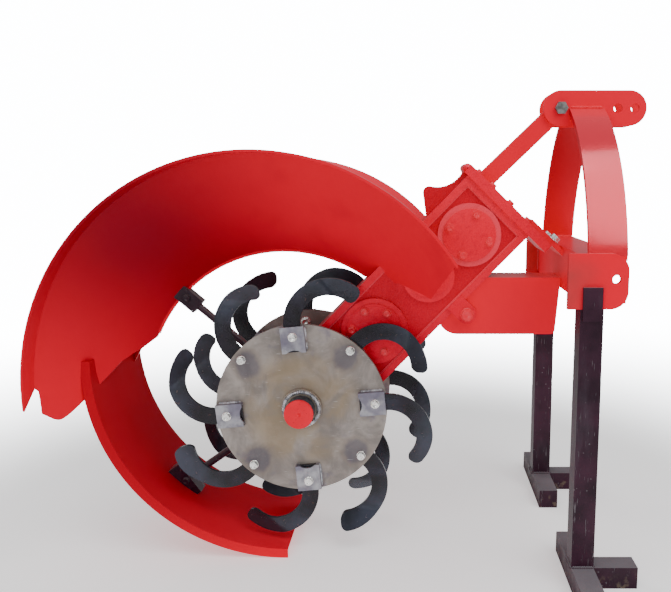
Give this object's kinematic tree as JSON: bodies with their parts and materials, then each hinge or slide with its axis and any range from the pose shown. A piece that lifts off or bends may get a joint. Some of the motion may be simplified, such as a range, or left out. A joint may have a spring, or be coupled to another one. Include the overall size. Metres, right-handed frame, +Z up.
{
  "type": "tractor-mounted rotary ditcher",
  "caption": "Tractor-mounted rotary ditcher: tined discs under a flared two-wing hood, inclined drive case, trench guard, three-point hitch and parking stand.",
  "frame": {"origin": "on the floor, midway along the machine, in its middle plane", "axes": "+X forward to the tractor, +Y to the left, +Z up"},
  "size_m": [1.6811, 1.01, 1.3443],
  "materials": {
    "red_paint": "gloss sprayed red",
    "cast_red_paint": "gloss red over rough casting",
    "disc_steel": "mill scale, stained",
    "holder_steel": "bare, welded",
    "tine_steel": "blue-black hardened steel",
    "shaft_steel": "turned",
    "zinc_steel": "bright zinc plate",
    "black_paint": "scuffed purple-black"
  },
  "bodies": {
    "frame": {"brace_bolt": "zinc_steel", "case_covers_left": "cast_red_paint", "case_covers_right": "cast_red_paint", "case_end_flange": "cast_red_paint", "cross_beam": "red_paint", "drive_case": "cast_red_paint", "flange_saddle": "red_paint", "hood_wing_left": "red_paint", "hood_wing_right": "red_paint", "input_housing": "cast_red_paint", "input_shield": "red_paint", "lower_link_plate_left": "red_paint", "lower_link_plate_right": "red_paint", "lower_stay": "black_paint", "lower_stay_lug": "black_paint", "mast_brace": "red_paint", "mast_leg_left": "red_paint", "mast_leg_right": "red_paint", "stand_foot_left": "black_paint", "stand_foot_right": "black_paint", "stand_post_left": "black_paint", "stand_post_right": "black_paint", "top_link_plate_left": "red_paint", "top_link_plate_right": "red_paint", "trench_guard": "red_paint", "upper_stay": "black_paint", "upper_stay_lug": "black_paint"},
    "rotor": {"disc_left": "disc_steel", "disc_right": "disc_steel", "hub_cap_left": "red_paint", "hub_cap_right": "red_paint", "inner_holders_left": "holder_steel", "inner_holders_right": "holder_steel", "inner_tines_left": "tine_steel", "inner_tines_right": "tine_steel", "outer_holders_left": "holder_steel", "outer_holders_right": "holder_steel", "outer_tines_left": "tine_steel", "outer_tines_right": "tine_steel", "rotor_shaft": "shaft_steel"},
    "input_shaft": {"input_shaft": "shaft_steel"}
  },
  "joints": [
    {"name": "rotor_spin", "type": "hinge", "parent": "frame", "child": "rotor", "pos_m": [-0.15187, 0, 0.434], "axis": [0, 1, 0], "continuous": true},
    {"name": "input_spin", "type": "hinge", "parent": "frame", "child": "input_shaft", "pos_m": [0.53858, 0, 0.73035], "axis": [1, 0, 0], "continuous": true}
  ],
  "couplings": [
    {"joint": "input_spin", "follows": "rotor_spin", "ratio": 1.9}
  ]
}
